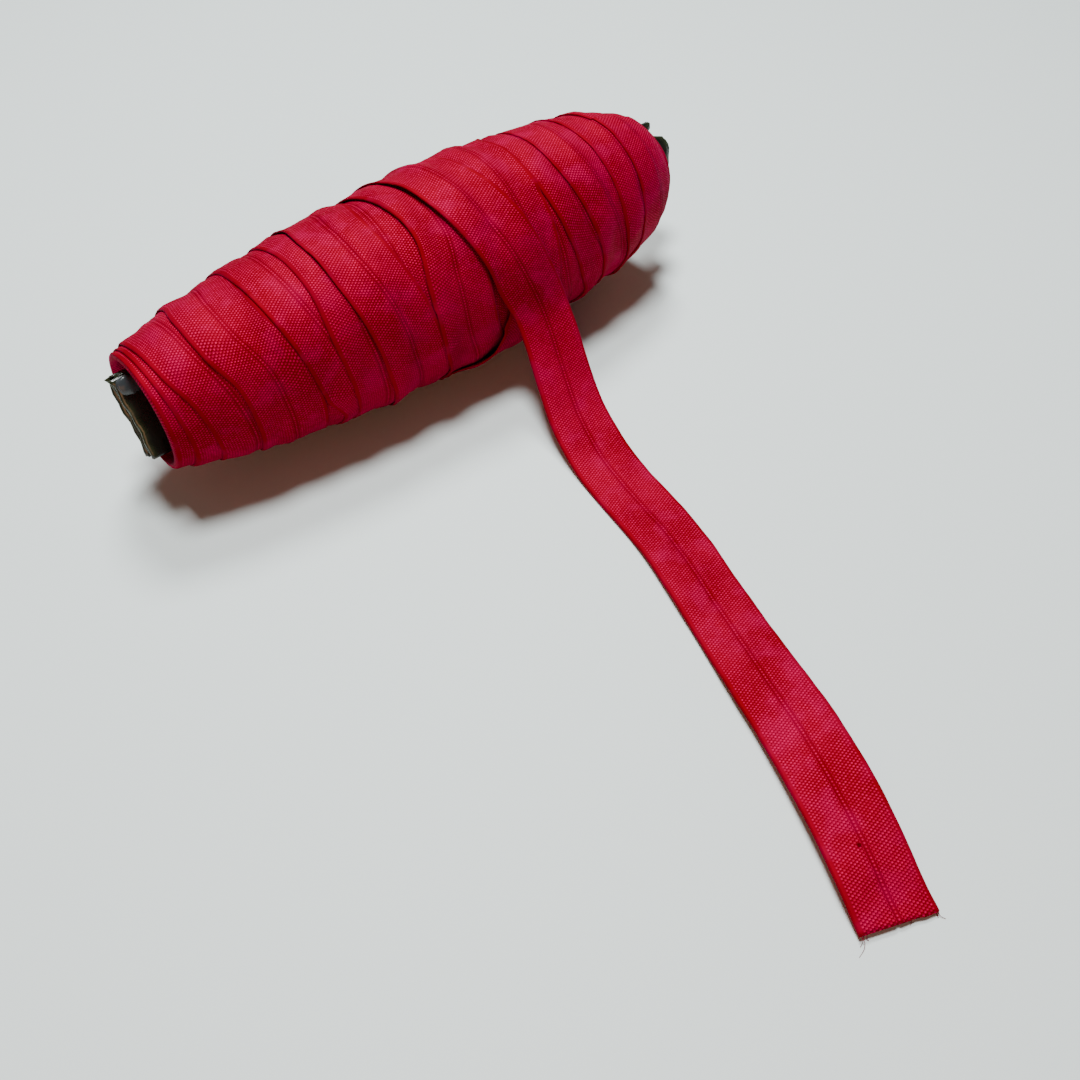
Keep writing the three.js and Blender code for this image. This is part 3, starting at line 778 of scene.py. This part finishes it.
CRIMSON = (0.26, 0.0, 0.014, 1)
CRIMSON_DEEP = (0.18, 0.0, 0.004, 1)
# darker between the stitches: partly the weave's own gaps, partly painted shade in them
CRIMSON_GAP_AND_PAINTED_SHADE = (0.1, 0.0, 0.001, 1)
# patches of painted sheen: a magenta pink where the satin would catch the light
PAINTED_SHEEN_PINK = (0.35, 0.0, 0.05, 1)
# the stitches' lighter pink: partly their own colour, partly painted glint
STITCH_PINK_AND_PAINTED_GLINT = (0.5, 0.0, 0.07, 1)
SELVEDGE_RED = (0.15, 0.0, 0.003, 1)
FOLD_RED = (0.07, 0.0, 0.001, 1)
SATIN = {
    "Metallic": 0.2,
    "Specular IOR Level": 0.0,
    "Sheen Weight": 0.04,
    "Sheen Roughness": 0.5,
    "Sheen Tint": (0.8, 0.0, 0.6, 1),
}
SNAG = {"across": -1.1, "from_end": 14.4}    # a small pulled stitch near the cut end

FILM_BLACK = (0.006, 0.007, 0.005, 1)
FILM_OLIVE = (0.024, 0.031, 0.012, 1)
FILM_PALE = (0.2, 0.24, 0.17, 1)
# the flap's blue-grey: a painted reflection on the dark film's face
FILM_PAINTED_REFLECTION_GREY = (0.03, 0.037, 0.042, 1)

FLOOR_COLOUR = (0.64, 0.69, 0.685, 1)


def weave_group():
    """Masks and heights of the weave from the ribbon's own millimetres."""
    group = bpy.data.node_groups.new("ribbon weave", "ShaderNodeTree")
    group.interface.new_socket("Place", in_out="INPUT", socket_type="NodeSocketVector")
    for name in ("Stitch", "Gap", "Selvedge", "Fold", "Height"):
        group.interface.new_socket(name, in_out="OUTPUT", socket_type="NodeSocketFloat")
    n = Nodes(group)
    start = n.add("NodeGroupInput")
    end = n.add("NodeGroupOutput")
    place = n.add("ShaderNodeSeparateXYZ")
    n.put(start.outputs["Place"], place.inputs[0])
    across, along = place.outputs[0], place.outputs[1]
    side = n.maths("ABSOLUTE", across)

    # Each stitch is a small oval in its column and row
    column_place = n.maths("DIVIDE", across, COLUMN)
    column = n.maths("ROUND", column_place)
    in_column = n.maths("SUBTRACT", column_place, column)
    row_place = n.maths("MULTIPLY_ADD", column, SHIFT, n.maths("DIVIDE", along, STITCH))
    row = n.maths("ROUND", row_place)
    in_row = n.maths("SUBTRACT", row_place, row)
    wide = n.maths("POWER", n.maths("DIVIDE", in_column, OVAL_WIDE), 2.0)
    tall = n.maths("POWER", n.maths("DIVIDE", in_row, OVAL_TALL), 2.0)
    away = n.maths("SQRT", n.maths("ADD", wide, tall))
    oval = n.ramp(away, 1.25, 0.2)

    # No two stitches shine alike: their painted glints and their roughness differ
    pair = n.add("ShaderNodeCombineXYZ")
    n.put(column, pair.inputs[0])
    n.put(row, pair.inputs[1])
    each = n.add("ShaderNodeTexWhiteNoise", noise_dimensions="2D")
    n.put(pair.outputs[0], each.inputs["Vector"])
    uneven = n.maths("MULTIPLY_ADD", each.outputs["Value"], 0.7, 0.3)

    # The selvedges have thin cords, and the fold line is two furrows along the middle
    selvedge = n.ramp(side, SELVEDGE - 0.12, SELVEDGE + 0.12)
    cord = n.maths("MULTIPLY", n.maths("COSINE", n.maths("MULTIPLY", side, 11.0)), selvedge)
    from_line = n.maths("ABSOLUTE", n.maths("SUBTRACT", side, FOLD_LINE))
    fold = n.ramp(from_line, 0.3, 0.08)
    body = n.maths("MULTIPLY", n.maths("SUBTRACT", 1.0, selvedge), n.maths("SUBTRACT", 1.0, fold))
    stitch = n.maths("MULTIPLY", oval, body)
    gap = n.maths("MULTIPLY", n.ramp(away, 1.2, 1.9), body)
    raised = n.maths("MULTIPLY_ADD", cord, 0.12, stitch)
    height = n.maths("SUBTRACT", raised, n.maths("MULTIPLY", fold, 0.5))
    for name, value in (
        ("Stitch", n.maths("MULTIPLY", stitch, uneven)),
        ("Gap", gap),
        ("Selvedge", selvedge),
        ("Fold", fold),
        ("Height", height),
    ):
        n.put(value, end.inputs[name])
    return group


def new_material(name):
    material = bpy.data.materials.new(name)
    material.use_nodes = True
    return material, Nodes(material.node_tree), material.node_tree.nodes["Principled BSDF"]


def satin_material():
    """Fold-over elastic: crimson with patches of painted sheen, stitches lighter partly by painted glint,
    gaps darker partly by painted shade, smooth selvedges and a dark fold line.
    """
    material, n, shader = new_material("crimson satin elastic")
    place = n.add("ShaderNodeUVMap", uv_map="place")
    cloth = n.add("ShaderNodeGroup")
    cloth.node_tree = weave_group()
    n.put(place.outputs["UV"], cloth.inputs["Place"])
    solid = n.add("ShaderNodeTexCoord").outputs["Object"]
    ground = n.mix(n.ramp(n.noise(solid, 60.0, 3.0), 0.35, 0.65), CRIMSON_DEEP, CRIMSON)
    # Patches of painted sheen: noise lightens the ground towards a magenta pink where satin would catch the
    # light
    painted_sheen = n.ramp(n.noise(solid, 150.0, 4.0), 0.48, 0.7)
    ground = n.mix(n.maths("MULTIPLY", painted_sheen, 0.55), ground, PAINTED_SHEEN_PINK)
    # Between the stitches the colour darkens: partly the weave, partly painted shade in the gaps
    ground = n.mix(cloth.outputs["Gap"], ground, CRIMSON_GAP_AND_PAINTED_SHADE)
    # The stitches are lighter pink: partly their own colour, partly painted glints
    colour = n.mix(cloth.outputs["Stitch"], ground, STITCH_PINK_AND_PAINTED_GLINT)
    colour = n.mix(n.maths("MULTIPLY", cloth.outputs["Selvedge"], 0.5), colour, SELVEDGE_RED)
    colour = n.mix(n.maths("MULTIPLY", cloth.outputs["Fold"], 0.5), colour, FOLD_RED)
    snag = n.add("ShaderNodeVectorMath", operation="DISTANCE")
    n.put(place.outputs["UV"], snag.inputs[0])
    snag.inputs[1].default_value = (SNAG["across"], cut_end - SNAG["from_end"], 0)
    colour = n.mix(n.ramp(snag.outputs["Value"], 0.65, 0.25), colour, FOLD_RED)
    n.put(colour, shader.inputs["Base Color"])
    n.put(n.bump(cloth.outputs["Height"], 0.5, 0.00012), shader.inputs["Normal"])
    n.put(n.ramp(cloth.outputs["Stitch"], 0.0, 1.0, 0.62, 0.42), shader.inputs["Roughness"])
    for name, value in SATIN.items():
        shader.inputs[name].default_value = value
    return material


def film_material(name, face):
    """Film that is olive and thinner towards its cut ends, with a pale rim where it was torn."""
    material, n, shader = new_material(name)
    from_ends = n.add("ShaderNodeSeparateXYZ")
    n.put(n.add("ShaderNodeUVMap", uv_map="place").outputs["UV"], from_ends.inputs[0])
    nearest = n.maths("MINIMUM", from_ends.outputs[0], from_ends.outputs[1])
    solid = n.add("ShaderNodeTexCoord").outputs["Object"]
    streaks = n.ramp(n.noise(solid, 320.0, 2.0), 0.4, 0.65)
    olive = n.maths("MULTIPLY", n.ramp(nearest, 2.0, 0.3), n.maths("MULTIPLY_ADD", streaks, 0.5, 0.5))
    pale = n.maths("MULTIPLY", n.ramp(nearest, 0.16, 0.02), n.maths("MULTIPLY_ADD", streaks, 0.45, 0.1))
    n.put(n.mix(pale, n.mix(olive, face, FILM_OLIVE), FILM_PALE), shader.inputs["Base Color"])
    n.put(n.ramp(n.noise(solid, 260.0), 0.3, 0.7, 0.16, 0.34), shader.inputs["Roughness"])
    n.put(n.bump(n.noise(solid, 420.0, 3.0), 0.35, 0.0004), shader.inputs["Normal"])
    return material


satin = satin_material()
for piece in (under_turns, left_turns, right_turns, inside, loose_end):
    piece.data.materials.append(satin)
core.data.materials.append(film_material("dark olive film", FILM_BLACK))
# The flap's blue-grey colour is a painted reflection on dark film
flap.data.materials.append(film_material("dark film with painted reflection", FILM_PAINTED_REFLECTION_GREY))


# Floor, lights and camera

FLOOR_HALF = 2000.0
LIGHTS = (
    {"name": "ceiling", "place": (-10, 25, 700), "size": 200, "power": 7.3, "colour": (0.95, 1.0, 1.0)},
    {"name": "window", "place": (290, 370, 860), "size": 260, "power": 10.0, "colour": (0.95, 1.0, 1.0)},
    {"name": "warm_fill", "place": (-450, -600, 250), "size": 400, "power": 1.3, "colour": (1.0, 0.5, 0.26)},
)
ROOM = {"Color": (1.0, 0.83, 0.74, 1), "Strength": 0.1}
CAMERA = {
    "place": (-117.5, -188.3, 187.6),
    "look": (0.4148922, 0.49095862, -0.76604444),
    "right": (0.76379603, -0.64545769, 0.0),
    "lens": 36.1,
}


def add_floor():
    mesh = bpy.data.meshes.new("floor")
    corners = [(-1, -1, 0), (1, -1, 0), (1, 1, 0), (-1, 1, 0)]
    mesh.from_pydata([Vector(corner) * FLOOR_HALF * MM for corner in corners], [], [(0, 1, 2, 3)])
    material, _, shader = new_material("floor")
    shader.inputs["Base Color"].default_value = FLOOR_COLOUR
    shader.inputs["Roughness"].default_value = 0.6
    mesh.materials.append(material)
    floor = bpy.data.objects.new("floor", mesh)
    bpy.context.scene.collection.objects.link(floor)


def add_light(row):
    light = bpy.data.lights.new(row["name"], "AREA")
    light.shape = "DISK"
    light.size = row["size"] * MM
    light.energy = row["power"]
    light.color = row["colour"]
    lamp = bpy.data.objects.new(row["name"], light)
    lamp.location = Vector(row["place"]) * MM
    lamp.rotation_euler = (-Vector(row["place"])).to_track_quat("-Z", "Y").to_euler()
    bpy.context.scene.collection.objects.link(lamp)


def add_camera():
    data = bpy.data.cameras.new("camera")
    data.lens = CAMERA["lens"]
    data.sensor_width = 36.0
    data.clip_start = 0.01
    camera = bpy.data.objects.new("camera", data)
    place = Vector(CAMERA["place"]) * MM
    look = Vector(CAMERA["look"])
    right = Vector(CAMERA["right"]).normalized()
    up = right.cross(look).normalized()
    look = up.cross(right)
    camera.matrix_world = Matrix((
        (right.x, up.x, -look.x, place.x),
        (right.y, up.y, -look.y, place.y),
        (right.z, up.z, -look.z, place.z),
        (0, 0, 0, 1),
    ))
    bpy.context.scene.collection.objects.link(camera)
    bpy.context.scene.camera = camera


def add_room():
    room = bpy.data.worlds.new("room")
    room.use_nodes = True
    for name, value in ROOM.items():
        room.node_tree.nodes["Background"].inputs[name].default_value = value
    bpy.context.scene.world = room


add_floor()
for row in LIGHTS:
    add_light(row)
add_room()
add_camera()
